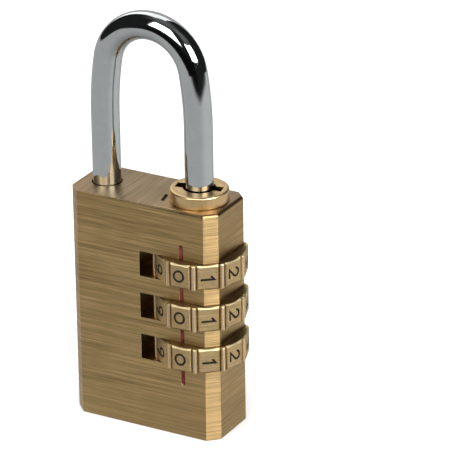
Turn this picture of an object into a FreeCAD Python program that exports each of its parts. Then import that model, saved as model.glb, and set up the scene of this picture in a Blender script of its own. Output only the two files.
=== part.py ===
# Three-dial combination padlock: brass block body, chrome shackle, three number dials.
# Units: millimetres. +Z up, +X towards the dials and the long leg, -Y the front (index) face.
# Origin: centre of the body's flat bottom face.
import FreeCAD, Part
import math
import os

V = FreeCAD.Vector
os.makedirs("parts", exist_ok=True)

# ------------------------------------------------------------------ driving dimensions
BODY_W = 30.0            # width along X
BODY_T = 13.0            # thickness along Y
BODY_H = 44.5            # height along Z
CORNER = 2.0             # leg of the 45 degree flats on the two front corners
CORNER_BACK = 1.7        # and on the two back corners
EDGE_ROUND_END = 0.55    # rounded top edges at the dial end
EDGE_ROUND_FAR = 0.15    # the long top edges' rounding fades to this at the other end
EDGE_ROUND_HEEL = 0.5    # rounded bottom edges at the other end
EDGE_BREAK = 0.2         # and at the dial end of the bottom

LEG_R = 2.6              # shackle rod radius
LONG_X = 8.75            # long leg, also the dial axis
SHORT_X = -10.35         # short leg
SHACKLE_STRAIGHT = 13.5  # straight part of the legs above the body
CROWN_RISE = 17.95       # rise of the rod's centre line over the straight part
CROWN_R = 8.78           # bend radius at the very top
SHORT_DEPTH = 6.0        # how far the short leg stands in the body
SHORT_HOLE_R = 2.85
SHORT_HOLE_DEPTH = 7.0
LIFT = 8.1               # travel of the shackle

PITCH = 8.2              # dial spacing
DIAL_Z = {"bottom": 16.35, "middle": 24.55, "top": 32.75}
SLOT_H = 4.9
SLOT_END_X = -0.2        # where the slots end in the front and back faces
SLOT_CUTTER_R = 16.0     # their inner ends are round, as a disc cutter leaves them
DIAL_H = 4.76
DIAL_CORE_R = 8.07       # bottom of the grooves beside the ribs
PAD_APOTHEM = 8.35       # flat number fields
PAD_W = 3.86
RIB_W = 0.92
DIAL_R = 8.7             # over the ribs
DIAL_SET = 2.4           # the figures stand this many degrees past the index line
DIAL_LAND_R = 4.65       # dial bore where it runs on its sleeve
NOTCH_R = 5.4
NOTCH_W = 1.3
NOTCH_FLOOR = 1.2        # notches start this far above the dial's mid height

BORE_R = 4.65            # main bore through the body
KEY_W = 1.35             # assembly keyway in the bore
SLEEVE_R = 4.6
SLEEVE_H = 8.17
SLEEVE_LOW = -0.5        # sleeve's lower face from its dial's mid height
SLEEVE_WEB = 2.2
CHAMBER_R = 3.85
GATE_W = 1.8
RUN_R = 2.66             # holes that the rod runs in
DRIVE_REACH = 5.3
DRIVE_W = 1.2
DRIVE_LOW = 1.28
DRIVE_H = 1.0
DROP = 1.2               # sleeve travel when the code is set

LUG_R = 0.8
LUG_REACH = 3.7
LUG_SEAT = 0.7           # lug pins start this far from the rod's axis
LUG_BELOW = 2.55         # lug centre below its dial's mid height, shackle closed

COLLAR_R = 5.35
COLLAR_TOP = 2.4         # height over the body
COLLAR_EDGE_Z = 2.0
COLLAR_FLAT_R = 4.85
COLLAR_LOW_Z = 40.45
COLLAR_MOUTH_R = 3.0
COLLAR_KEY_REACH = 4.3
COLLAR_KEY_W = 2.1
COLLAR_TURN = 12.0       # the bush sits turned by this much

PLUG_R = 5.5
PLUG_H = 1.6
GUIDE_Z = (11.3, 12.5)
RING_Z = (1.9, 2.7)
RING_R = 3.5
GROOVE_R = 2.15
LEG_END_Z = 1.65

SPRING_WIRE = 0.25       # wire radius
SPRING_MEAN_R = 4.2
WASHER_Z = (15.45, 15.85)
WASHER_R = (3.9, 4.6)

DETENT_ANGLE = 162.0 + DIAL_SET   # between two ribs, on the blind side of the slot
DETENT_DIST = 10.25
DETENT_BORE_R = 1.7
DETENT_TOP_Z = 36.85
DETENT_PLUG_H = 12.35
LEAF_T = 0.22
LEAF_W = 1.6
LEAF_HALF = 3.9
LEAF_BACK = 11.6
LEAF_NOSE = 8.4

INDEX_X = 8.4
INDEX_R = 0.45
INDEX_OUT = 0.2          # groove cutter's axis in front of the face
INDEX_Z = (10.7, 37.6)


# ------------------------------------------------------------------ helpers
def box(x0, x1, y0, y1, z0, z1):
    return Part.makeBox(x1 - x0, y1 - y0, z1 - z0, V(x0, y0, z0))


def cyl(r, z0, z1, x=0.0, y=0.0):
    return Part.makeCylinder(r, z1 - z0, V(x, y, z0))


def prism(points, z0, z1):
    pts = [V(px, py, z0) for px, py in points]
    face = Part.Face(Part.makePolygon(pts + [pts[0]]))
    return face.extrude(V(0, 0, z1 - z0))


def revolve(profile, x=0.0, y=0.0):
    """Solid of revolution about the upright axis at x, y. profile is (r, z) pairs."""
    pts = [V(x + r, y, z) for r, z in profile]
    face = Part.Face(Part.makePolygon(pts + [pts[0]]))
    return face.revolve(V(x, y, 0), V(0, 0, 1), 360)


def turned(shape, angle, x=LONG_X, y=0.0):
    s = shape.copy()
    s.rotate(V(x, y, 0), V(0, 0, 1), angle)
    return s


def moved(shape, dz):
    s = shape.copy()
    s.translate(V(0, 0, dz))
    return s


def one_solid(shape):
    shape = shape.removeSplitter()
    return shape.Solids[0] if len(shape.Solids) == 1 else shape


nodes = {}

# ------------------------------------------------------------------ body
hw, ht = BODY_W / 2.0, BODY_T / 2.0
outline = [(-hw + CORNER, -ht), (hw - CORNER, -ht), (hw, -ht + CORNER), (hw, ht - CORNER_BACK),
           (hw - CORNER_BACK, ht), (-hw + CORNER_BACK, ht), (-hw, ht - CORNER_BACK), (-hw, -ht + CORNER)]
block = prism(outline, 0, BODY_H)


# rounded level edges: top, full round the dial end and fading along the two long edges;
# bottom, full round the other end and fading the other way
doc = FreeCAD.newDocument("rounding")
base = doc.addObject("Part::Feature", "base")
base.Shape = block
spec = []
for i, e in enumerate(block.Edges):
    a, b = e.Vertexes[0].Point, e.Vertexes[-1].Point
    m = (a + b) * 0.5
    long_edge = abs(m.y) > ht - 0.01
    if abs(a.z - BODY_H) < 1e-6 and abs(b.z - BODY_H) < 1e-6:
        near, far = EDGE_ROUND_END, EDGE_ROUND_FAR
        if long_edge or m.x > 0:
            spec.append((i + 1,) + tuple(near if p.x > 0 else far for p in (a, b)))
    elif abs(a.z) < 1e-6 and abs(b.z) < 1e-6:
        spec.append((i + 1,) + tuple(EDGE_BREAK if p.x > 0 else EDGE_ROUND_HEEL for p in (a, b)))
rounded = doc.addObject("Part::Fillet", "rounded")
rounded.Base = base
rounded.Edges = spec
doc.recompute()
block = rounded.Shape.copy()
FreeCAD.closeDocument(doc.Name)
print("rounded", len(spec), "edges, valid", block.isValid(), round(block.Volume, 1))

cuts = []
for z in DIAL_Z.values():
    cuts.append(cyl(SLOT_CUTTER_R, z - SLOT_H / 2, z + SLOT_H / 2, SLOT_END_X + math.sqrt(SLOT_CUTTER_R ** 2 - ht ** 2)))
cuts.append(cyl(BORE_R, -1, BODY_H + 1, LONG_X))
cuts.append(cyl(PLUG_R, -1, PLUG_H, LONG_X))
cuts.append(box(LONG_X - NOTCH_R, LONG_X, -KEY_W / 2, KEY_W / 2, 0.5, DIAL_Z["top"]))
cuts.append(cyl(SHORT_HOLE_R, BODY_H - SHORT_HOLE_DEPTH, BODY_H + 1, SHORT_X))
da = math.radians(DETENT_ANGLE)
DET_X = LONG_X + DETENT_DIST * math.cos(da)
DET_Y = DETENT_DIST * math.sin(da)
cuts.append(cyl(DETENT_BORE_R, -1, DETENT_TOP_Z, DET_X, DET_Y))
# upright index groove in the front face, with run-outs at both ends
groove = Part.makeCylinder(INDEX_R, INDEX_Z[1] - INDEX_Z[0], V(INDEX_X, -ht - INDEX_OUT, INDEX_Z[0]))
for z in INDEX_Z:
    groove = groove.fuse(Part.makeSphere(INDEX_R, V(INDEX_X, -ht - INDEX_OUT, z)))
cuts.append(groove)
# short setting mark in the top face beside the bush
mark = Part.makeCylinder(0.42, 2.4, V(-1.2, 0, 0), V(1, 0, 0))
mark = mark.fuse([Part.makeSphere(0.42, V(-1.2, 0, 0)), Part.makeSphere(0.42, V(1.2, 0, 0))])
mark.rotate(V(0, 0, 0), V(0, 0, 1), 103)
mark.translate(V(2.85, -2.1, BODY_H + 0.1))
cuts.append(mark)
body = block
for c in cuts:
    body = body.cut(c)
nodes["body"] = one_solid(body)

# ------------------------------------------------------------------ shackle
b = CROWN_RISE
half = (LONG_X - SHORT_X) / 2.0
xm = (LONG_X + SHORT_X) / 2.0
side_r = (half ** 2 + (b - CROWN_R) ** 2 - CROWN_R ** 2) / (2 * half - 2 * CROWN_R)
zs = BODY_H + SHACKLE_STRAIGHT
# tangent point between the side arc (centre at height zs) and the crown arc
cx_side = half - side_r
tx = cx_side + side_r * (0 - cx_side) / (side_r - CROWN_R)
tz = side_r * (b - CROWN_R) / (side_r - CROWN_R)


def arc3(c, r, a0, a1):
    am = (a0 + a1) / 2.0
    p = [V(c[0] + r * math.cos(a), 0, c[1] + r * math.sin(a)) for a in (a0, am, a1)]
    return Part.Arc(*p).toShape()


a_t = math.atan2(tz, tx - cx_side)
short_tip = BODY_H - SHORT_DEPTH
edges = [
    Part.LineSegment(V(SHORT_X, 0, short_tip), V(SHORT_X, 0, zs)).toShape(),
    arc3((xm - cx_side, zs), side_r, math.pi, math.pi - a_t),
    arc3((xm, zs + b - CROWN_R), CROWN_R, math.pi - a_t, a_t),
    arc3((xm + cx_side, zs), side_r, a_t, 0.0),
    Part.LineSegment(V(LONG_X, 0, zs), V(LONG_X, 0, LEG_END_Z)).toShape(),
]
path = Part.Wire(edges)
ring = Part.Wire([Part.makeCircle(LEG_R, V(SHORT_X, 0, short_tip), V(0, 0, 1))])
rod = path.makePipeShell([ring], True, False)
if rod.ShapeType != "Solid":
    rod = Part.Solid(rod)
print("shackle rod", round(rod.Volume, 1), "expected", round(path.Length * math.pi * LEG_R ** 2, 1), "valid", rod.isValid())
# rounded tips
tip_cut = cyl(LEG_R + 1, short_tip - 1, short_tip + 0.7, SHORT_X).cut(
    revolve([(0, short_tip - 2), (LEG_R - 0.7, short_tip), (LEG_R + 0.02, short_tip + 0.72), (LEG_R + 0.02, short_tip + 2), (0, short_tip + 2)], SHORT_X))
end_cut = cyl(LEG_R + 1, LEG_END_Z - 1, LEG_END_Z + 0.35, LONG_X).cut(
    revolve([(0, LEG_END_Z - 2), (LEG_R - 0.35, LEG_END_Z), (LEG_R + 0.02, LEG_END_Z + 0.37), (LEG_R + 0.02, LEG_END_Z + 2), (0, LEG_END_Z + 2)], LONG_X))
rod = rod.cut(tip_cut).cut(end_cut)
# groove for the retaining ring
g = cyl(LEG_R + 1, RING_Z[0], RING_Z[1], LONG_X).cut(cyl(GROOVE_R, RING_Z[0] - 1, RING_Z[1] + 1, LONG_X))
rod = rod.cut(g)

# lug pins, pressed crosswise into the long leg, pointing towards -X
for name, z in DIAL_Z.items():
    zc = z - LUG_BELOW
    pin = Part.makeCylinder(LUG_R, LUG_REACH - LUG_SEAT - 0.25, V(LONG_X - LUG_SEAT, 0, zc), V(-1, 0, 0))
    nose = Part.makeCone(LUG_R, LUG_R - 0.25, 0.25, V(LONG_X - LUG_REACH + 0.25, 0, zc), V(-1, 0, 0))
    pin = one_solid(pin.fuse(nose))
    rod = rod.cut(pin)
    nodes["lug_pin_" + name] = pin
nodes["shackle"] = one_solid(rod)

# retaining ring snapped into the groove, open on one side
ring = cyl(RING_R, RING_Z[0] + 0.02, RING_Z[1] - 0.02, LONG_X)
ring = ring.cut(cyl(GROOVE_R + 0.03, 0, 5, LONG_X))
ring = ring.cut(box(LONG_X, LONG_X + 5, -1.3, 1.3, 0, 5))
nodes["retaining_ring"] = one_solid(ring)

# ------------------------------------------------------------------ shackle bush (the collar on top)
zt = BODY_H
profile = [(0, COLLAR_LOW_Z), (BORE_R - 0.25, COLLAR_LOW_Z), (BORE_R, COLLAR_LOW_Z + 0.25), (BORE_R, zt),
           (COLLAR_R - 0.12, zt), (COLLAR_R, zt + 0.12), (COLLAR_R, zt + COLLAR_EDGE_Z)]
for k in range(1, 7):
    a = math.pi / 2 * k / 6.0
    profile.append((COLLAR_FLAT_R + (COLLAR_R - COLLAR_FLAT_R) * math.cos(a),
                    zt + COLLAR_EDGE_Z + (COLLAR_TOP - COLLAR_EDGE_Z) * math.sin(a)))
profile.append((0, zt + COLLAR_TOP))
bush = revolve(profile, LONG_X)
bush = bush.cut(cyl(RUN_R, COLLAR_LOW_Z - 1, zt + 5, LONG_X))
bush = bush.cut(cyl(COLLAR_MOUTH_R, zt + 0.4, zt + 5, LONG_X))
key = box(LONG_X - COLLAR_KEY_REACH, LONG_X + COLLAR_KEY_REACH, -COLLAR_KEY_W / 2, COLLAR_KEY_W / 2, COLLAR_LOW_Z - 1, zt + 5)
bush = bush.cut(turned(key, COLLAR_TURN))
nodes["shackle_bush"] = one_solid(bush)

# ------------------------------------------------------------------ dials
hd = DIAL_H / 2.0
core = revolve([(0, -hd), (DIAL_CORE_R - 0.3, -hd), (DIAL_CORE_R, -hd + 0.3), (DIAL_CORE_R, hd - 0.3), (DIAL_CORE_R - 0.3, hd), (0, hd)], LONG_X)
# one number field, at the front: a flat pad with bevelled edges
q = 0.34                                  # bevel along top and bottom
s = 0.2                                   # bevel along the sides
pad_pts = [(-PAD_W / 2, 7.4), (PAD_W / 2, 7.4), (PAD_W / 2, PAD_APOTHEM - s), (PAD_W / 2 - s, PAD_APOTHEM),
           (-PAD_W / 2 + s, PAD_APOTHEM), (-PAD_W / 2, PAD_APOTHEM - s)]
pad = prism([(LONG_X + x, -y) for x, y in pad_pts], -hd, hd)
for sgn in (1, -1):
    wedge_pts = [V(0, -PAD_APOTHEM - 0.5, sgn * (hd + 0.5 - q)), V(0, -PAD_APOTHEM - 0.5, sgn * (hd + 0.5)), V(0, -PAD_APOTHEM + q - 0.5, sgn * (hd + 0.5))]
    wedge_pts = [V(0, -PAD_APOTHEM - 1.0, sgn * (hd - q - 1.0)), V(0, -PAD_APOTHEM - 1.0, sgn * (hd + 1.0)), V(0, -PAD_APOTHEM + q + 1.0, sgn * (hd + 1.0))]
    wf = Part.Face(Part.makePolygon(wedge_pts + [wedge_pts[0]]))
    wedge = wf.extrude(V(12, 0, 0))
    wedge.translate(V(LONG_X - 6, 0, 0))
    pad = pad.cut(wedge)
# one rib, at the front
rib = box(LONG_X - RIB_W / 2, LONG_X + RIB_W / 2, -(DIAL_R - RIB_W / 2), -7.4, -hd, hd)
rib = rib.fuse(cyl(RIB_W / 2, -hd, hd, LONG_X, -(DIAL_R - RIB_W / 2)))
rib_env = revolve([(0, -hd), (DIAL_R - 0.22, -hd), (DIAL_R - 0.06, -hd + 0.08), (DIAL_R, -hd + 0.25), (DIAL_R, hd - 0.25),
                   (DIAL_R - 0.06, hd - 0.08), (DIAL_R - 0.22, hd), (0, hd)], LONG_X)
rib = rib.common(rib_env)
pieces = []
for k in range(10):
    pieces.append(turned(pad, 36 * k + DIAL_SET))
    pieces.append(turned(rib, 36 * k + 18 + DIAL_SET))
dial = core.fuse(pieces)
# bore: wide below, notched lands above
dial = dial.cut(cyl(DIAL_LAND_R, -hd - 1, hd + 1, LONG_X))
dial = dial.cut(cyl(NOTCH_R, -hd - 1, NOTCH_FLOOR, LONG_X))
notch = box(LONG_X - NOTCH_R, LONG_X, -NOTCH_W / 2, NOTCH_W / 2, NOTCH_FLOOR - 0.5, hd + 1)
for k in range(10):
    dial = dial.cut(turned(notch, 36 * k))
dial = one_solid(dial)
for name, z in DIAL_Z.items():
    nodes["dial_" + name] = moved(dial, z)

# ------------------------------------------------------------------ code sleeves
z0 = SLEEVE_LOW
sleeve = cyl(SLEEVE_R, z0, z0 + SLEEVE_H, LONG_X)
sleeve = sleeve.cut(cyl(CHAMBER_R, z0 + SLEEVE_WEB, z0 + SLEEVE_H + 1, LONG_X))
sleeve = sleeve.fuse(box(LONG_X - DRIVE_REACH, LONG_X - SLEEVE_R + 0.3, -DRIVE_W / 2, DRIVE_W / 2, DRIVE_LOW, DRIVE_LOW + DRIVE_H).common(
    cyl(DRIVE_REACH, DRIVE_LOW, DRIVE_LOW + DRIVE_H, LONG_X)))
sleeve = sleeve.cut(cyl(RUN_R, z0 - 1, z0 + SLEEVE_H + 1, LONG_X))
sleeve = sleeve.cut(box(LONG_X - CHAMBER_R, LONG_X, -GATE_W / 2, GATE_W / 2, z0 - 1, z0 + SLEEVE_WEB + 1).common(
    cyl(CHAMBER_R, z0 - 1, z0 + SLEEVE_WEB + 1, LONG_X)))
sleeve = one_solid(sleeve)
for name, z in DIAL_Z.items():
    nodes["sleeve_" + name] = moved(sleeve, z)

# ------------------------------------------------------------------ spring pack under the sleeves
w = cyl(WASHER_R[1], WASHER_Z[0], WASHER_Z[1] - 0.01, LONG_X).cut(cyl(WASHER_R[0], 0, 30, LONG_X))
nodes["spring_washer"] = w

span = WASHER_Z[0] - GUIDE_Z[1] - 2 * SPRING_WIRE - 0.06
turns = 2.75
per_turn = 16            # wire sections a turn, joined by a smooth loft
n = int(turns * per_turn)
end = 2 * math.pi * turns
sections = []
for i in range(n + 1):
    a = end * i / n
    along = V(-SPRING_MEAN_R * math.sin(a), SPRING_MEAN_R * math.cos(a), span / end).normalize()
    outward = V(math.cos(a), math.sin(a), 0)
    side = along.cross(outward)
    p = V(SPRING_MEAN_R * math.cos(a), SPRING_MEAN_R * math.sin(a), span * a / end)
    section = Part.Wire([Part.makeCircle(SPRING_WIRE)])
    section.Placement = FreeCAD.Placement(FreeCAD.Matrix(
        outward.x, side.x, along.x, p.x, outward.y, side.y, along.y, p.y, outward.z, side.z, along.z, p.z, 0, 0, 0, 1))
    sections.append(section)
coil = Part.makeLoft(sections, True, False)
coil.translate(V(LONG_X, 0, GUIDE_Z[1] + SPRING_WIRE + 0.03))
print("sleeve spring", round(coil.Volume, 2), "expected",
      round(math.hypot(SPRING_MEAN_R * end, span) * math.pi * SPRING_WIRE ** 2, 2), "valid", coil.isValid())
nodes["sleeve_spring"] = coil

guide = cyl(BORE_R, GUIDE_Z[0], GUIDE_Z[1], LONG_X).cut(cyl(RUN_R, 0, 30, LONG_X))
nodes["leg_guide_bush"] = guide

nodes["bottom_plug"] = cyl(PLUG_R, 0, PLUG_H, LONG_X)

# ------------------------------------------------------------------ dial detents: bow springs stacked in their own bore
nodes["detent_plug"] = cyl(DETENT_BORE_R, 0, DETENT_PLUG_H, DET_X, DET_Y)


def leaf(zc):
    """A bent strip. Its section is drawn in the plane of distance from the dial axis and height."""
    back, nose, h = LEAF_BACK, LEAF_NOSE, LEAF_HALF
    front = [(back, -h), (back - 0.35, -h + 0.55), (nose + 0.55, -0.75), (nose + 0.12, -0.38), (nose, 0.0),
             (nose + 0.12, 0.38), (nose + 0.55, 0.75), (back - 0.35, h - 0.55), (back, h)]
    rear = []
    n = len(front)
    for i, (r, z) in enumerate(front):
        a = front[max(i - 1, 0)]
        c = front[min(i + 1, n - 1)]
        dr, dz = c[0] - a[0], c[1] - a[1]
        d = math.hypot(dr, dz)
        rear.append((r + LEAF_T * dz / d, z - LEAF_T * dr / d))
    pts = [V(r, -LEAF_W / 2, z) for r, z in front + rear[::-1]]
    strip = Part.Face(Part.makePolygon(pts + [pts[0]])).extrude(V(0, LEAF_W, 0))
    strip.rotate(V(0, 0, 0), V(0, 0, 1), DETENT_ANGLE)
    strip.translate(V(LONG_X, 0, zc))
    return strip


for name, z in DIAL_Z.items():
    nodes["detent_spring_" + name] = leaf(z)

# ------------------------------------------------------------------ export
for name, shape in nodes.items():
    if not shape.isValid() or len(shape.Solids) != 1:
        print("CHECK", name, shape.isValid(), len(shape.Solids))
    shape.exportStep("parts/" + name + ".step")
print(len(nodes), "nodes; height", max(s.BoundBox.ZMax for s in nodes.values()))
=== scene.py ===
import math
import bpy
import bmesh
from mathutils import Vector, Matrix


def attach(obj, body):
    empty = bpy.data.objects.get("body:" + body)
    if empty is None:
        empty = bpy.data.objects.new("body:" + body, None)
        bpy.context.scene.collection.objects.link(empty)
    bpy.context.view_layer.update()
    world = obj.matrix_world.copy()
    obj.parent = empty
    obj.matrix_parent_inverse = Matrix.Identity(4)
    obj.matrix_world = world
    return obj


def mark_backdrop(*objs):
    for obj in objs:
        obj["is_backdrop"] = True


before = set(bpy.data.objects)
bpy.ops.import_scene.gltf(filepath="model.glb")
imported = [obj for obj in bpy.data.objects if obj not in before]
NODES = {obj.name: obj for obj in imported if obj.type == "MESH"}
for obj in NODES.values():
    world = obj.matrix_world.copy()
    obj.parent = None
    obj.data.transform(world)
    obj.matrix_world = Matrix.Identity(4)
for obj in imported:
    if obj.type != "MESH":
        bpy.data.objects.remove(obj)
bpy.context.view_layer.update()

scene = bpy.context.scene

# ------------------------------------------------------------------ key places, metres
AXIS_X = 0.00875                   # long leg and dial axis
SHORT_X = -0.01035
FRONT = -0.0065
BODY_TOP = 0.0445
DIAL_Z = {"bottom": 0.01635, "middle": 0.02455, "top": 0.03275}
DIAL_SET = 2.4                     # degrees that the figures stand past the index line
PAD_R = 0.00835                    # flat number fields' distance from the axis
CORE_R = 0.00807                   # bottom of the grooves beside the ribs
SLOT_HALF = 0.00245
SLOT_CENTRE = -0.0002 + math.sqrt(0.016 ** 2 - 0.0065 ** 2)
INDEX_X = 0.0084
INDEX_Z = (0.0107, 0.0376)


# ------------------------------------------------------------------ node helpers
class Mat:
    """A small wrapper that builds one node material."""

    def __init__(self, name):
        self.m = bpy.data.materials.new(name)
        self.m.use_nodes = True
        self.t = self.m.node_tree
        self.t.nodes.clear()
        self.out = self.t.nodes.new("ShaderNodeOutputMaterial")
        self._tc = None

    def node(self, kind, **props):
        n = self.t.nodes.new(kind)
        for k, v in props.items():
            setattr(n, k, v)
        return n

    def put(self, socket, value):
        if isinstance(value, bpy.types.NodeSocket):
            self.t.links.new(value, socket)
        elif value is not None:
            socket.default_value = value

    def coord(self, kind="Object"):
        if self._tc is None:
            self._tc = self.node("ShaderNodeTexCoord")
        return self._tc.outputs[kind]

    def math(self, op, a, b=None, c=None, clamp=False):
        n = self.node("ShaderNodeMath", operation=op, use_clamp=clamp)
        self.put(n.inputs[0], a)
        if b is not None:
            self.put(n.inputs[1], b)
        if c is not None:
            self.put(n.inputs[2], c)
        return n.outputs[0]

    def vec(self, op, a, b=None, out=0):
        n = self.node("ShaderNodeVectorMath", operation=op)
        self.put(n.inputs[0], a)
        if b is not None:
            self.put(n.inputs[1], b)
        return n.outputs[out]

    def sep(self, v):
        n = self.node("ShaderNodeSeparateXYZ")
        self.put(n.inputs[0], v)
        return n.outputs[0], n.outputs[1], n.outputs[2]

    def comb(self, x, y, z):
        n = self.node("ShaderNodeCombineXYZ")
        self.put(n.inputs[0], x)
        self.put(n.inputs[1], y)
        self.put(n.inputs[2], z)
        return n.outputs[0]

    def noise(self, vector, scale=1.0, detail=3.0, rough=0.55, distortion=0.0):
        n = self.node("ShaderNodeTexNoise")
        self.put(n.inputs["Vector"], vector)
        n.inputs["Scale"].default_value = scale
        n.inputs["Detail"].default_value = detail
        n.inputs["Roughness"].default_value = rough
        n.inputs["Distortion"].default_value = distortion
        return n.outputs["Fac"]

    def ramp(self, fac, stops, interpolation="LINEAR"):
        n = self.node("ShaderNodeValToRGB")
        n.color_ramp.interpolation = interpolation
        el = n.color_ramp.elements
        while len(el) < len(stops):
            el.new(0.5)
        for e, (pos, col) in zip(el, stops):
            e.position = pos
            e.color = (col, col, col, 1) if not isinstance(col, (tuple, list)) else (*col, 1)
        self.put(n.inputs[0], fac)
        return n.outputs[0]

    def mixf(self, fac, a, b):
        n = self.node("ShaderNodeMix", data_type="FLOAT")
        self.put(n.inputs[0], fac)
        self.put(n.inputs[2], a)
        self.put(n.inputs[3], b)
        return n.outputs[0]

    def mixv(self, fac, a, b):
        n = self.node("ShaderNodeMix", data_type="VECTOR")
        self.put(n.inputs[0], fac)
        self.put(n.inputs[4], a)
        self.put(n.inputs[5], b)
        return n.outputs[1]

    def mixc(self, fac, a, b, blend="MIX"):
        n = self.node("ShaderNodeMix", data_type="RGBA", blend_type=blend)
        self.put(n.inputs[0], fac)
        self.put(n.inputs[6], a if isinstance(a, bpy.types.NodeSocket) else (*a, 1))
        self.put(n.inputs[7], b if isinstance(b, bpy.types.NodeSocket) else (*b, 1))
        return n.outputs[2]

    def remap(self, v, a, b, c, d):
        n = self.node("ShaderNodeMapRange")
        n.clamp = True
        self.put(n.inputs[0], v)
        for i, q in enumerate((a, b, c, d)):
            n.inputs[1 + i].default_value = q
        return n.outputs[0]

    def bump(self, height, strength, distance, normal=None):
        n = self.node("ShaderNodeBump")
        n.inputs["Strength"].default_value = strength
        n.inputs["Distance"].default_value = distance
        self.put(n.inputs["Height"], height)
        if normal is not None:
            self.put(n.inputs["Normal"], normal)
        return n.outputs[0]

    def bevel(self, radius, samples=6):
        n = self.node("ShaderNodeBevel", samples=samples)
        n.inputs["Radius"].default_value = radius
        return n.outputs[0]

    def principled(self, **sockets):
        n = self.node("ShaderNodeBsdfPrincipled")
        for k, v in sockets.items():
            key = {"Base": "Base Color", "Aniso": "Anisotropic", "AnisoRot": "Anisotropic Rotation",
                   "Coat": "Coat Weight", "CoatRough": "Coat Roughness", "Specular": "Specular IOR Level"}.get(k, k)
            if k == "Base" and not isinstance(v, bpy.types.NodeSocket):
                v = (*v, 1)
            self.put(n.inputs[key], v)
        self.t.links.new(n.outputs[0], self.out.inputs[0])
        return n


def streak_vectors(M, along, across):
    """Coordinates for brushing: level lines on upright faces, lines along Y on level faces.
    Returns the vector and the share of the level faces."""
    x, y, z = M.sep(M.coord("Object"))
    nx, ny, nz = M.sep(M.coord("Normal"))
    level = M.math("GREATER_THAN", M.math("ABSOLUTE", nz), 0.7)
    up = M.comb(M.math("MULTIPLY", x, along), M.math("MULTIPLY", y, along), M.math("MULTIPLY", z, across))
    flat = M.comb(M.math("MULTIPLY", x, across), M.math("MULTIPLY", y, along), M.math("MULTIPLY", z, along))
    return M.mixv(level, up, flat), level


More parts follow.
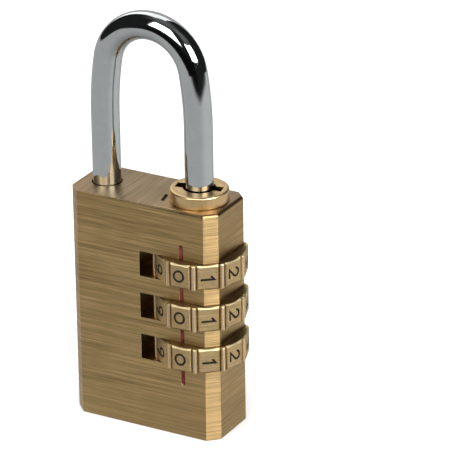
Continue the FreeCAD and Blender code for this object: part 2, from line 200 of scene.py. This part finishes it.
def brushed_brass(name, dark, light, rough=(0.26, 0.42), coarse=4000.0, fine=11000.0, along=70.0,
                  contrast=(0.36, 0.64), bump=0.12, bevel=0.00012, aniso=0.65, blotch=0.12, cavity=False,
                  level_dark=None, level_light=None):
    M = Mat(name)
    v1, level = streak_vectors(M, along, coarse)
    v2, _ = streak_vectors(M, along * 2.3, fine)
    n1 = M.noise(v1, 1.0, 5.0, 0.62)
    n2 = M.noise(v2, 1.0, 3.0, 0.6)
    v0, _ = streak_vectors(M, along * 0.5, coarse * 0.3)
    n0 = M.noise(v0, 1.0, 2.0, 0.5)
    lines = M.math("ADD", M.math("MULTIPLY", n1, 0.5), M.math("ADD", M.math("MULTIPLY", n2, 0.32), M.math("MULTIPLY", n0, 0.18)))
    lines = M.remap(lines, contrast[0], contrast[1], 0.0, 1.0)
    col = M.mixc(lines, M.mixc(level, dark, level_dark or dark), M.mixc(level, light, level_light or light))
    cloud = M.noise(M.coord("Object"), 95.0, 3.0, 0.55)
    tint = M.mixc(M.remap(cloud, 0.38, 0.64, 0.0, blotch), col, tuple(0.5 * c for c in dark))
    warm = M.noise(M.coord("Object"), 38.0, 2.0, 0.5)
    tint = M.mixc(M.remap(warm, 0.42, 0.7, 0.0, 0.22), tint, (light[0] * 1.02, light[1] * 0.86, light[2] * 0.9))
    if cavity:
        # painted shade: the inner walls of the slots and bores are tinted darker, where shade falls
        x, y, z = M.sep(M.coord("Object"))
        inside_y = M.math("LESS_THAN", M.math("ABSOLUTE", y), 0.00643)
        d = None
        for zc in DIAL_Z.values():
            q = M.math("LESS_THAN", M.math("ABSOLUTE", M.math("SUBTRACT", z, zc)), SLOT_HALF + 0.00001)
            d = q if d is None else M.math("MAXIMUM", d, q)
        in_x = M.math("MULTIPLY", M.math("LESS_THAN", M.vec("DISTANCE", M.comb(x, y, 0.0), (SLOT_CENTRE, 0.0, 0.0), 1), 0.01602),
                      M.math("LESS_THAN", x, 0.01493))
        slot = M.math("MULTIPLY", M.math("MULTIPLY", d, inside_y), in_x)
        # not the chamfers or the outer faces: only points well inside the outline
        corner = M.math("LESS_THAN", M.math("ADD", x, M.math("ABSOLUTE", y)), 0.01942)
        slot = M.math("MULTIPLY", slot, corner)
        hole = M.math("LESS_THAN", M.vec("DISTANCE", M.comb(x, y, 0.0), (SHORT_X, 0.0, 0.0), 1), 0.00288)
        hole = M.math("MULTIPLY", hole, M.math("LESS_THAN", z, BODY_TOP - 0.0003))
        inner = M.math("MAXIMUM", slot, hole)
        tint = M.mixc(M.math("MULTIPLY", inner, 0.85), tint, (0.42, 0.27, 0.11))
        # the index groove's walls are stained by its enamel
        stain = M.math("MULTIPLY", M.math("LESS_THAN", M.math("ABSOLUTE", M.math("SUBTRACT", x, INDEX_X)), 0.00043), M.math("GREATER_THAN", y, FRONT + 0.000006))
        stain = M.math("MULTIPLY", stain, M.math("LESS_THAN", y, FRONT + 0.0004))
        stain = M.math("MULTIPLY", stain, M.math("MULTIPLY", M.math("GREATER_THAN", z, INDEX_Z[0] - 0.0005), M.math("LESS_THAN", z, INDEX_Z[1] + 0.0005)))
        tint = M.mixc(stain, tint, (0.16, 0.045, 0.022))
        # the elongated mark cut beside the bush: painted shade on one wall and a painted highlight on the other
        c, q = math.cos(math.radians(103)), math.sin(math.radians(103))
        dx, dy = M.math("SUBTRACT", x, 0.00285), M.math("ADD", y, 0.0021)
        u = M.math("ABSOLUTE", M.math("ADD", M.math("MULTIPLY", dx, c), M.math("MULTIPLY", dy, q)))
        across = M.math("SUBTRACT", M.math("MULTIPLY", dy, c), M.math("MULTIPLY", dx, q))
        v = M.math("ABSOLUTE", across)
        mark = M.math("MULTIPLY", M.math("LESS_THAN", u, 0.0018), M.math("LESS_THAN", v, 0.00046))
        mark = M.math("MULTIPLY", mark, M.math("MULTIPLY", M.math("LESS_THAN", z, BODY_TOP - 0.000015), M.math("GREATER_THAN", z, BODY_TOP - 0.0008)))
        tint = M.mixc(mark, tint, M.mixc(M.remap(across, -0.00024, -0.00004, 1.0, 0.0), (0.045, 0.028, 0.014), (1.0, 0.84, 0.56)))
    r = M.remap(n2, 0.3, 0.7, rough[0], rough[1])
    r = M.math("ADD", r, M.remap(cloud, 0.35, 0.7, 0.0, 0.06))
    nb = M.bevel(bevel)
    if cavity:
        # edges painted bright: partly brass rubbed by handling, partly a painted highlight along the edge
        flat = M.node("ShaderNodeNewGeometry").outputs["Normal"]
        bend = M.math("SUBTRACT", 1.0, M.vec("DOT_PRODUCT", nb, flat, 1))
        wear_and_glint = M.math("MULTIPLY", M.remap(bend, 0.004, 0.06, 0.0, 0.6), M.remap(cloud, 0.35, 0.6, 0.35, 1.0))
        wear_and_glint = M.math("MULTIPLY", wear_and_glint, M.math("SUBTRACT", 1.0, inner))
        tint = M.mixc(wear_and_glint, tint, (1.0, 0.86, 0.58))
        # painted shade on the rounded top edges, stronger towards the dial end
        nx, ny, nz = M.sep(M.coord("Normal"))
        edge = M.math("MULTIPLY", M.math("GREATER_THAN", nz, 0.08), M.math("LESS_THAN", nz, 0.985))
        edge = M.math("MULTIPLY", edge, M.math("GREATER_THAN", z, BODY_TOP - 0.0008))
        edge = M.math("MULTIPLY", edge, M.remap(x, 0.000, 0.009, 0.0, 0.6))
        tint = M.mixc(edge, tint, (0.22, 0.13, 0.055))
    h = M.math("ADD", M.math("MULTIPLY", n1, 0.7), M.math("MULTIPLY", n2, 0.3))
    nn = M.bump(h, bump, 0.00002, nb)
    tangent = M.mixv(level, (0.0, 0.0, 1.0), (1.0, 0.0, 0.0))
    M.principled(Base=tint, Metallic=1.0, Roughness=r, Aniso=aniso, Normal=nn, Tangent=tangent)
    return M.m


def dial_brass(name):
    M = Mat(name)
    x, y, z = M.sep(M.coord("Object"))
    v1 = M.comb(M.math("MULTIPLY", x, 120.0), M.math("MULTIPLY", y, 120.0), M.math("MULTIPLY", z, 5200.0))
    n1 = M.noise(v1, 1.0, 4.0, 0.6)
    grain = M.noise(M.coord("Object"), 3800.0, 2.0, 0.6)
    lines = M.math("ADD", M.math("MULTIPLY", n1, 0.55), M.math("MULTIPLY", grain, 0.45))
    f = M.remap(lines, 0.36, 0.64, 0.0, 1.0)
    col = M.mixc(f, (0.58, 0.405, 0.18), (0.93, 0.70, 0.36))
    cloud = M.noise(M.coord("Object"), 260.0, 3.0, 0.55)
    col = M.mixc(M.remap(cloud, 0.4, 0.66, 0.0, 0.3), col, (0.62, 0.43, 0.29))
    # distance from the dial's axis: painted shade in the grooves beside the ribs, painted highlights on the rib
    # tops
    rad = M.vec("LENGTH", M.comb(M.math("SUBTRACT", x, AXIS_X), y, 0.0), None, 1)
    groove = M.remap(rad, CORE_R, CORE_R + 0.0002, 0.75, 0.0)
    col = M.mixc(groove, col, (0.10, 0.07, 0.035))
    rib_glint = M.remap(rad, 0.00856, 0.00867, 0.0, 0.8)
    col = M.mixc(rib_glint, col, (1.0, 0.78, 0.50))
    nx, ny, nz = M.sep(M.coord("Normal"))
    # painted highlight on the pads' top bevels, which are also made rougher
    bevel_glint = M.math("MULTIPLY", M.math("GREATER_THAN", nz, 0.3), M.math("LESS_THAN", nz, 0.93))
    bevel_glint = M.math("MULTIPLY", bevel_glint, M.math("GREATER_THAN", rad, CORE_R + 0.0001))
    col = M.mixc(bevel_glint, col, (1.0, 0.84, 0.50))
    r = M.mixf(bevel_glint, M.remap(grain, 0.3, 0.7, 0.30, 0.46), 0.58)
    nb = M.bevel(0.00006)
    nn = M.bump(M.math("ADD", M.math("MULTIPLY", n1, 0.5), M.math("MULTIPLY", grain, 0.5)), 0.14, 0.00002, nb)
    M.principled(Base=col, Metallic=1.0, Roughness=r, Aniso=0.35, Normal=nn, Tangent=M.comb(0.0, 0.0, 1.0))
    return M.m


def turned_brass(name):
    """Bush: turned on its flat top, rings about the leg."""
    M = Mat(name)
    x, y, z = M.sep(M.coord("Object"))
    nx, ny, nz = M.sep(M.coord("Normal"))
    rad = M.vec("LENGTH", M.comb(M.math("SUBTRACT", x, AXIS_X), y, 0.0), None, 1)
    rings = M.noise(M.comb(M.math("MULTIPLY", rad, 7000.0), M.math("MULTIPLY", z, 7000.0), 0.0), 1.0, 3.0, 0.6)
    cloud = M.noise(M.coord("Object"), 300.0, 3.0, 0.55)
    col = M.mixc(M.remap(rings, 0.35, 0.65, 0.0, 1.0), (0.86, 0.59, 0.28), (1.0, 0.78, 0.45))
    col = M.mixc(M.remap(cloud, 0.42, 0.7, 0.0, 0.35), col, (0.74, 0.47, 0.20))
    # painted shade inside the mouth and the keyways, and a painted contact shadow where the flange meets the body
    mouth = M.remap(rad, 0.00299, 0.00306, 0.8, 0.0)
    inward = M.math("LESS_THAN", M.math("ABSOLUTE", nz), 0.4)
    deep_shade = M.math("MULTIPLY", M.math("MULTIPLY", M.math("LESS_THAN", rad, 0.0052), inward), M.math("LESS_THAN", z, BODY_TOP + 0.00239))
    dark = M.math("MAXIMUM", M.math("MULTIPLY", deep_shade, 0.85), M.remap(z, BODY_TOP, BODY_TOP + 0.00022, 0.75, 0.0))
    col = M.mixc(dark, col, (0.045, 0.028, 0.012))
    r = M.remap(rings, 0.3, 0.7, 0.28, 0.42)
    nn = M.bump(rings, 0.10, 0.00002, M.bevel(0.00012))
    M.principled(Base=col, Metallic=1.0, Roughness=r, Aniso=0.3, Normal=nn)
    return M.m


def chrome(name):
    M = Mat(name)
    x, y, z = M.sep(M.coord("Object"))
    smear = M.noise(M.coord("Object"), 420.0, 4.0, 0.6)
    fine = M.noise(M.comb(M.math("MULTIPLY", x, 4000.0), M.math("MULTIPLY", y, 4000.0), M.math("MULTIPLY", z, 300.0)), 1.0, 3.0, 0.6)
    col = M.mixc(M.remap(smear, 0.35, 0.7, 0.0, 1.0), (0.67, 0.71, 0.715), (0.63, 0.665, 0.67))
    r = M.math("ADD", M.remap(smear, 0.3, 0.75, 0.045, 0.075), M.remap(fine, 0.4, 0.7, 0.0, 0.02))
    wave = M.noise(M.coord("Object"), 220.0, 2.0, 0.5)
    nn = M.bump(M.math("ADD", M.math("MULTIPLY", wave, 0.9), M.math("MULTIPLY", fine, 0.05)), 0.06, 0.0001)
    M.principled(Base=col, Metallic=1.0, Roughness=r, Normal=nn)
    return M.m


def steel(name, base, rough):
    M = Mat(name)
    g = M.noise(M.coord("Object"), 2400.0, 3.0, 0.6)
    c = M.noise(M.coord("Object"), 300.0, 3.0, 0.6)
    col = M.mixc(M.remap(g, 0.35, 0.65, 0.0, 1.0), tuple(0.7 * v for v in base), base)
    col = M.mixc(M.remap(c, 0.45, 0.7, 0.0, 0.4), col, tuple(0.5 * v for v in base))
    M.principled(Base=col, Metallic=1.0, Roughness=M.remap(g, 0.3, 0.7, rough, rough + 0.15),
                 Normal=M.bump(g, 0.1, 0.00002))
    return M.m


def enamel(name, a, b, rough):
    M = Mat(name)
    g = M.noise(M.coord("Object"), 1500.0, 3.0, 0.6)
    g2 = M.noise(M.coord("Object"), 6000.0, 2.0, 0.6)
    col = M.mixc(M.remap(g, 0.38, 0.66, 0.0, 1.0), a, b)
    M.principled(Base=col, Metallic=0.0, Roughness=M.remap(g2, 0.3, 0.7, rough, rough + 0.2),
                 Normal=M.bump(M.math("ADD", g, M.math("MULTIPLY", g2, 0.4)), 0.25, 0.00003), Specular=0.12)
    return M.m


M_BODY = brushed_brass("brass_body_brushed", (0.38, 0.245, 0.105), (1.0, 0.72, 0.33), cavity=True, aniso=0.8,
                       level_dark=(0.40, 0.285, 0.17), level_light=(0.88, 0.66, 0.40))
M_DIAL = dial_brass("brass_dial_satin")
M_BUSH = turned_brass("brass_bush_turned")
M_SLEEVE = brushed_brass("brass_inner_turned", (0.45, 0.33, 0.17), (0.66, 0.50, 0.28), coarse=6000.0, fine=14000.0, bevel=0.00005)
M_CHROME = chrome("chrome_plate")
M_STEEL = steel("steel_ground", (0.52, 0.52, 0.53), 0.3)
M_SPRING = steel("steel_spring_oiled", (0.36, 0.36, 0.38), 0.25)
M_RED = enamel("enamel_index_red", (0.095, 0.014, 0.009), (0.20, 0.042, 0.030), 0.5)
M_BLACK = enamel("enamel_figure_black", (0.010, 0.007, 0.004), (0.030, 0.021, 0.012), 0.45)


def give(node, mat):
    o = NODES[node]
    o.data.materials.clear()
    o.data.materials.append(mat)


for n in NODES:
    if n in ("body", "bottom_plug", "detent_plug"):
        give(n, M_BODY)
    elif n.startswith("dial_"):
        give(n, M_DIAL)
    elif n == "shackle_bush":
        give(n, M_BUSH)
    elif n == "shackle":
        give(n, M_CHROME)
    elif n.startswith("sleeve_") and n != "sleeve_spring" or n == "leg_guide_bush":
        give(n, M_SLEEVE)
    elif n.startswith("lug_pin"):
        give(n, M_STEEL)
    else:
        give(n, M_SPRING)


# ------------------------------------------------------------------ figures on the dials
def arc(cx, cy, rx, ry, a0, a1, n=18):
    return [(cx + rx * math.cos(math.radians(a0 + (a1 - a0) * i / n)), cy + ry * math.sin(math.radians(a0 + (a1 - a0) * i / n)))
            for i in range(n + 1)]


# strokes in a box 1 wide (0..1) and 1 high, y up; closed strokes repeat their first point
GLYPHS = {
    "0": [arc(0.5, 0.42, 0.44, 0.37, 90, 450, 36)],
    "1": [[(0.40, 0.76), (0.64, 0.94), (0.64, 0.03)]],
    "2": [arc(0.5, 0.68, 0.33, 0.27, 165, -38, 18) + [(0.17, 0.06), (0.85, 0.06)]],
    "3": [arc(0.48, 0.715, 0.30, 0.235, 150, -80, 16) , arc(0.47, 0.27, 0.36, 0.235, 82, -150, 18)],
    "4": [[(0.86, 0.27), (0.14, 0.27), (0.64, 0.94), (0.64, 0.04)]],
    "5": [[(0.80, 0.94), (0.28, 0.94), (0.22, 0.53)] + arc(0.48, 0.33, 0.35, 0.29, 128, -145, 18)],
    "6": [arc(0.5, 0.33, 0.345, 0.29, 90, 450, 32), [(0.17, 0.40)] + arc(0.66, 0.52, 0.49, 0.42, 170, 108, 10)],
    "7": [[(0.16, 0.94), (0.84, 0.94), (0.40, 0.04)]],
    "8": [arc(0.5, 0.715, 0.29, 0.225, -90, 270, 28), arc(0.5, 0.27, 0.35, 0.22, 90, 450, 30)],
    "9": [arc(0.5, 0.67, 0.345, 0.29, 90, 450, 32), [(0.83, 0.60)] + arc(0.34, 0.48, 0.49, 0.42, -10, -72, 10)],
}
GLYPH_H = 0.00250
GLYPH_W = 0.00228
STROKE = 0.00042


def ribbon(bm, pts, width, place, thick, closed):
    """A flat strip of a stroke with mitred joints and rounded ends, its top a little crowned."""
    n = len(pts)
    P = [Vector((p[0], p[1])) for p in pts]
    if closed:
        P = P[:-1]
        n = len(P)
    rows = []
    prof = [(-0.5, 0.0), (-0.5, 0.55), (-0.36, 0.9), (0.0, 1.0), (0.36, 0.9), (0.5, 0.55), (0.5, 0.0)]
    for i in range(n):
        a = P[(i - 1) % n] if (closed or i > 0) else None
        c = P[(i + 1) % n] if (closed or i < n - 1) else None
        d1 = (P[i] - a).normalized() if a is not None else None
        d2 = (c - P[i]).normalized() if c is not None else None
        d1 = d1 or d2
        d2 = d2 or d1
        t = (d1 + d2)
        t = t.normalized() if t.length > 1e-9 else d1
        nrm = Vector((-t.y, t.x))
        k = 1.0 / max(0.45, abs(nrm.dot(Vector((-d1.y, d1.x)))))
        rows.append((P[i], nrm * k))
    if not closed:
        # rounded ends: extra narrow rows
        def cap(p, d, nr, sgn):
            out = []
            for s_, w_ in ((0.5, 0.25), (0.38, 0.66), (0.2, 0.92)):
                out.append((p + d * (sgn * width * s_), nr * w_))
            return out
        d0 = (P[1] - P[0]).normalized()
        d9 = (P[-1] - P[-2]).normalized()
        rows = cap(P[0], d0, rows[0][1], -1) + rows + cap(P[-1], d9, rows[-1][1], 1)[::-1]
    rings = []
    for p, nr in rows:
        ring = []
        for u, h in prof:
            q = p + nr * (u * width)
            ring.append(bm.verts.new(place(q.x, q.y, h * thick)))
        rings.append(ring)
    m = len(rings)
    for i in range(m if closed else m - 1):
        A, B = rings[i], rings[(i + 1) % m]
        for j in range(len(prof) - 1):
            bm.faces.new((A[j], B[j], B[j + 1], A[j + 1]))
        bm.faces.new((A[-1], B[-1], B[0], A[0]))
    if not closed:
        bm.faces.new(rings[0])
        bm.faces.new(rings[-1][::-1])


def mesh_object(name, bm, mat, smooth=True):
    bmesh.ops.recalc_face_normals(bm, faces=bm.faces[:])
    me = bpy.data.meshes.new(name)
    bm.to_mesh(me)
    bm.free()
    if smooth:
        for p in me.polygons:
            p.use_smooth = True
    me.materials.append(mat)
    o = bpy.data.objects.new(name, me)
    scene.collection.objects.link(o)
    return o


for which, zc in DIAL_Z.items():
    bm = bmesh.new()
    for digit in range(10):
        a = math.radians(-90 + 36 * digit + DIAL_SET)
        out = Vector((math.cos(a), math.sin(a), 0))           # outward
        tan = Vector((-math.sin(a), math.cos(a), 0))          # towards the next higher figure
        centre = Vector((AXIS_X, 0, zc)) + out * PAD_R

        def place(u, v, h, out=out, tan=tan, centre=centre):
            # the figures lie on their side: their tops point along tan, their left side is up
            return centre + tan * v + Vector((0, 0, -u)) + out * (h - 0.000012)

        for stroke in GLYPHS[str(digit)]:
            pts = [((p[0] - 0.5) * GLYPH_W, (p[1] - 0.5) * GLYPH_H) for p in stroke]
            closed = (Vector(stroke[0]) - Vector(stroke[-1])).length < 1e-6
            ribbon(bm, pts, STROKE, place, 0.000045, closed)
    o = mesh_object("figures_" + which, bm, M_BLACK)
    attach(o, "wheel_" + which)

# ------------------------------------------------------------------ red index line, in the groove above, between and below the dials
spans = [(INDEX_Z[0], DIAL_Z["bottom"] - SLOT_HALF), (DIAL_Z["bottom"] + SLOT_HALF, DIAL_Z["middle"] - SLOT_HALF),
         (DIAL_Z["middle"] + SLOT_HALF, DIAL_Z["top"] - SLOT_HALF), (DIAL_Z["top"] + SLOT_HALF, INDEX_Z[1])]
bm = bmesh.new()
for i, (z0, z1) in enumerate(spans):
    n = 14
    rows = []
    for k in range(n + 1):
        z = z0 + (z1 - z0) * k / n
        # the enamel thins out at the two far ends of the groove
        e = 1.0
        if i == 0:
            e = min(1.0, (z - z0) / 0.0006 + 0.25)
        if i == 3:
            e = min(1.0, (z1 - z) / 0.0009 + 0.25)
        w = 0.00031 * e
        row = []
        for j in range(7):
            u = -1 + 2 * j / 6
            depth = 0.00006 + 0.00009 * (1 - u * u)
            row.append(bm.verts.new((INDEX_X + u * w, FRONT + depth, z)))
        back = [bm.verts.new((INDEX_X + u * w, FRONT + 0.00019, z)) for u in (0.6, -0.6)]
        rows.append(row + back)
    for k in range(n):
        A, B = rows[k], rows[k + 1]
        m = len(A)
        for j in range(m):
            bm.faces.new((A[j], A[(j + 1) % m], B[(j + 1) % m], B[j]))
    bm.faces.new(rows[0])
    bm.faces.new(rows[-1][::-1])
o = mesh_object("index_line_enamel", bm, M_RED)
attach(o, "case")

# ------------------------------------------------------------------ camera: the photo's viewing angle
PHI, EPS, RHO = 0.50507283, 0.41533250, -0.01283574
DIST, FOCAL = 0.6511357, 3573.6398
TX, TY = -0.013710867, -0.014412323
toward = Vector((math.sin(PHI) * math.cos(EPS), -math.cos(PHI) * math.cos(EPS), math.sin(EPS)))
fwd = -toward
right0 = fwd.cross(Vector((0, 0, 1))).normalized()
up0 = right0.cross(fwd)
right = right0 * math.cos(RHO) + up0 * math.sin(RHO)
up = -right0 * math.sin(RHO) + up0 * math.cos(RHO)
eye = Vector((0, 0, 0.020)) + toward * DIST - right * TX - up * TY
cam_data = bpy.data.cameras.new("camera")
cam_data.sensor_fit = "HORIZONTAL"
cam_data.sensor_width = 36.0
cam_data.lens = FOCAL * 36.0 / 470.0
cam_data.clip_start = 0.01
cam_data.clip_end = 50.0
cam = bpy.data.objects.new("camera", cam_data)
scene.collection.objects.link(cam)
cam.matrix_world = Matrix(((right.x, up.x, toward.x, eye.x), (right.y, up.y, toward.y, eye.y),
                           (right.z, up.z, toward.z, eye.z), (0, 0, 0, 1)))
scene.camera = cam


# ------------------------------------------------------------------ stage
def plane(name, size, loc=(0, 0, 0), mat=None, grid=8):
    bm = bmesh.new()
    bmesh.ops.create_grid(bm, x_segments=grid, y_segments=grid, size=size)
    o = mesh_object(name, bm, mat, smooth=False)
    o.location = loc
    return o


Mf = Mat("stage_floor")
fn = Mf.noise(Mf.coord("Object"), 30.0, 3.0, 0.5)
Mf.principled(Base=Mf.mixc(Mf.remap(fn, 0.3, 0.7, 0.0, 1.0), (0.90, 0.90, 0.90), (0.92, 0.92, 0.92)), Roughness=0.9)
floor = plane("stage_floor", 4.0, (0, 0, 0), Mf.m)


def glossy_only(o):
    o.visible_camera = False
    o.visible_diffuse = False
    o.visible_transmission = False
    o.visible_volume_scatter = False
    o.visible_shadow = False
    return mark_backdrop(o)


def room_glow(name):
    """What the metal mirrors, by direction from the lock: grey table, dark room, three soft boxes.
    Azimuth in degrees, 0 straight in front of the lock, +90 on the dials' side."""
    M = Mat(name)
    x, y, z = M.sep(M.coord("Object"))
    az = M.math("MULTIPLY", M.math("ARCTAN2", x, M.math("MULTIPLY", y, -1.0)), 180 / math.pi)
    hor = M.math("SQRT", M.math("ADD", M.math("MULTIPLY", x, x), M.math("MULTIPLY", y, y)))
    el = M.math("MULTIPLY", M.math("ARCTAN2", z, hor), 180 / math.pi)

    def step(v, e0, e1):
        n = M.node("ShaderNodeMapRange", interpolation_type="SMOOTHSTEP")
        M.put(n.inputs[0], v)
        for i, q in enumerate((e0, e1, 0.0, 1.0)):
            M.put(n.inputs[1 + i], q)
        return n.outputs[0]

    def mul(*v):
        out = v[0]
        for q in v[1:]:
            out = M.math("MULTIPLY", out, q)
        return out

    def panel(a0, a1, e0, e1, soft=2.5):
        return mul(step(az, a0 - soft, a0 + soft), step(az, a1 + soft, a1 - soft), step(el, e0 - soft, e0 + soft), step(el, e1 + soft, e1 - soft))

    # the far edge of the table: higher on the left, lower in front and on the right
    edge = M.math("ADD", -14.0, mul(step(az, -28.0, -40.0), step(az, -150.0, -120.0), 11.5))
    edge = M.math("ADD", edge, mul(step(az, 50.0, 110.0), 4.0))
    edge = M.math("ADD", edge, mul(step(az, -118.0, -150.0), 16.0))
    table = step(M.math("SUBTRACT", el, edge), 1.6, -1.6)
    room = M.math("ADD", 0.015, mul(step(el, 55.0, 85.0), 0.12))
    room = M.math("MULTIPLY", room, M.math("SUBTRACT", 1.0, mul(step(az, -35.0, -15.0), step(az, 70.0, 50.0), step(el, 18.0, 8.0), 0.7)))
    room = M.math("ADD", room, mul(panel(60, 112, 42, 70, 8.0), 0.13))
    room = M.math("ADD", room, mul(step(az, -112.0, -122.0), step(el, 60.0, 45.0), 0.46))
    fade = M.math("SUBTRACT", 1.0, mul(step(el, -25.0, -75.0), 0.35))
    fade = M.math("ADD", fade, mul(step(az, 35.0, 100.0), step(az, 172.0, 145.0), 0.30))
    light = M.math("ADD", mul(table, fade, TABLE_GLOW), mul(M.math("SUBTRACT", 1.0, table), room))
    light = M.math("ADD", light, mul(panel(-24, 25, 25, 60), BOX_FRONT))
    light = M.math("ADD", light, mul(panel(54, 92, 14, 38), BOX_RIGHT))
    tall = mul(step(az, -113.0, -119.0), step(el, 78.0, 72.0), step(M.math("SUBTRACT", el, M.math("MINIMUM", M.math("SUBTRACT", -105.0, az), 45.0)), -4.0, 4.0))
    light = M.math("ADD", light, mul(tall, BOX_BACK))
    em = M.node("ShaderNodeEmission")
    M.put(em.inputs["Strength"], light)
    em.inputs["Color"].default_value = (1.0, 0.995, 0.985, 1)
    M.t.links.new(em.outputs[0], M.out.inputs[0])
    return M.m


TABLE_GLOW = 0.46
BOX_FRONT = 5.0
BOX_RIGHT = 15.0
BOX_BACK = 1.25
bm = bmesh.new()
bmesh.ops.create_uvsphere(bm, u_segments=64, v_segments=32, radius=2.0)
dome = mesh_object("stage_room_glow", bm, room_glow("glow_room"))
dome.location = (0, 0, 0.045)
glossy_only(dome)
floor.visible_glossy = False

# world and lamps: soft white studio
world = bpy.data.worlds.new("studio")
scene.world = world
world.use_nodes = True
bg = world.node_tree.nodes["Background"]
bg.inputs[0].default_value = (1.0, 1.0, 1.0, 1)
bg.inputs[1].default_value = 0.85


def area(name, loc, target, size, power, glossy=True, shape="RECTANGLE", size_y=None):
    d = bpy.data.lights.new(name, "AREA")
    d.shape = shape
    d.size = size
    if size_y:
        d.size_y = size_y
    d.energy = power
    o = bpy.data.objects.new(name, d)
    scene.collection.objects.link(o)
    o.location = loc
    o.rotation_euler = (Vector(target) - Vector(loc)).to_track_quat("-Z", "Y").to_euler()
    o.visible_glossy = glossy
    o.visible_camera = False
    return o


area("key_above", (0.25, -0.35, 0.9), (0, 0, 0.03), 0.9, 9.0, glossy=False, size_y=0.9)
area("fill_left", (-0.8, -0.5, 0.5), (0, 0, 0.03), 0.6, 3.0, glossy=False, size_y=0.6)

scene.view_settings.view_transform = "Standard"
scene.view_settings.look = "None"
scene.view_settings.exposure = 0.0
scene.view_settings.gamma = 1.0
scene.cycles.use_denoising = True
scene.cycles.max_bounces = 10
scene.cycles.glossy_bounces = 6
scene.cycles.sample_clamp_indirect = 1.0
